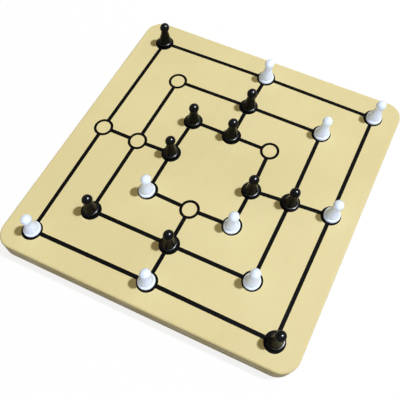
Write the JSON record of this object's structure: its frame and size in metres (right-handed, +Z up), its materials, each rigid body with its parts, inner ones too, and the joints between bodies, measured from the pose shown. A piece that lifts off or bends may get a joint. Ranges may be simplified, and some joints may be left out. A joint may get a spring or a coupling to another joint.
{
  "type": "nine men's morris board with men",
  "caption": "Nearly square rounded board engraved with a nine men's morris figure, with loose black and white pawns standing on its points.",
  "frame": {"origin": "middle of the board's underside", "axes": "+Z up out of the playing face, +X and +Y along the board's edges; +Y is called north and +X east in the node and mount notes"},
  "size_m": [0.226, 0.222, 0.0365],
  "materials": {
    "cream_board": "satin cream lacquer",
    "black_filling": "matt black paint fill",
    "black_man": "glossy black",
    "white_man": "glossy white"
  },
  "bodies": {
    "board": {"board": "cream_board", "figure_filling": "black_filling"},
    "black_man_01": {"black_man_01": "black_man"},
    "black_man_02": {"black_man_02": "black_man"},
    "black_man_03": {"black_man_03": "black_man"},
    "black_man_04": {"black_man_04": "black_man"},
    "black_man_05": {"black_man_05": "black_man"},
    "black_man_06": {"black_man_06": "black_man"},
    "black_man_07": {"black_man_07": "black_man"},
    "black_man_08": {"black_man_08": "black_man"},
    "black_man_09": {"black_man_09": "black_man"},
    "black_man_10": {"black_man_10": "black_man"},
    "white_man_01": {"white_man_01": "white_man"},
    "white_man_02": {"white_man_02": "white_man"},
    "white_man_03": {"white_man_03": "white_man"},
    "white_man_04": {"white_man_04": "white_man"},
    "white_man_05": {"white_man_05": "white_man"},
    "white_man_06": {"white_man_06": "white_man"},
    "white_man_07": {"white_man_07": "white_man"},
    "white_man_08": {"white_man_08": "white_man"},
    "white_man_09": {"white_man_09": "white_man"}
  },
  "joints": [
    {"name": "black_man_01_lift", "type": "slide", "parent": "board", "child": "black_man_01", "axis": [0, 0, 1], "range_m": [0, 0.04]},
    {"name": "black_man_02_lift", "type": "slide", "parent": "board", "child": "black_man_02", "axis": [0, 0, 1], "range_m": [0, 0.04]},
    {"name": "black_man_03_lift", "type": "slide", "parent": "board", "child": "black_man_03", "axis": [0, 0, 1], "range_m": [0, 0.04]},
    {"name": "black_man_04_lift", "type": "slide", "parent": "board", "child": "black_man_04", "axis": [0, 0, 1], "range_m": [0, 0.04]},
    {"name": "black_man_05_lift", "type": "slide", "parent": "board", "child": "black_man_05", "axis": [0, 0, 1], "range_m": [0, 0.04]},
    {"name": "black_man_06_lift", "type": "slide", "parent": "board", "child": "black_man_06", "axis": [0, 0, 1], "range_m": [0, 0.04]},
    {"name": "black_man_07_lift", "type": "slide", "parent": "board", "child": "black_man_07", "axis": [0, 0, 1], "range_m": [0, 0.04]},
    {"name": "black_man_08_lift", "type": "slide", "parent": "board", "child": "black_man_08", "axis": [0, 0, 1], "range_m": [0, 0.04]},
    {"name": "black_man_09_lift", "type": "slide", "parent": "board", "child": "black_man_09", "axis": [0, 0, 1], "range_m": [0, 0.04]},
    {"name": "black_man_10_lift", "type": "slide", "parent": "board", "child": "black_man_10", "axis": [0, 0, 1], "range_m": [0, 0.04]},
    {"name": "white_man_01_lift", "type": "slide", "parent": "board", "child": "white_man_01", "axis": [0, 0, 1], "range_m": [0, 0.04]},
    {"name": "white_man_02_lift", "type": "slide", "parent": "board", "child": "white_man_02", "axis": [0, 0, 1], "range_m": [0, 0.04]},
    {"name": "white_man_03_lift", "type": "slide", "parent": "board", "child": "white_man_03", "axis": [0, 0, 1], "range_m": [0, 0.04]},
    {"name": "white_man_04_lift", "type": "slide", "parent": "board", "child": "white_man_04", "axis": [0, 0, 1], "range_m": [0, 0.04]},
    {"name": "white_man_05_lift", "type": "slide", "parent": "board", "child": "white_man_05", "axis": [0, 0, 1], "range_m": [0, 0.04]},
    {"name": "white_man_06_lift", "type": "slide", "parent": "board", "child": "white_man_06", "axis": [0, 0, 1], "range_m": [0, 0.04]},
    {"name": "white_man_07_lift", "type": "slide", "parent": "board", "child": "white_man_07", "axis": [0, 0, 1], "range_m": [0, 0.04]},
    {"name": "white_man_08_lift", "type": "slide", "parent": "board", "child": "white_man_08", "axis": [0, 0, 1], "range_m": [0, 0.04]},
    {"name": "white_man_09_lift", "type": "slide", "parent": "board", "child": "white_man_09", "axis": [0, 0, 1], "range_m": [0, 0.04]}
  ]
}
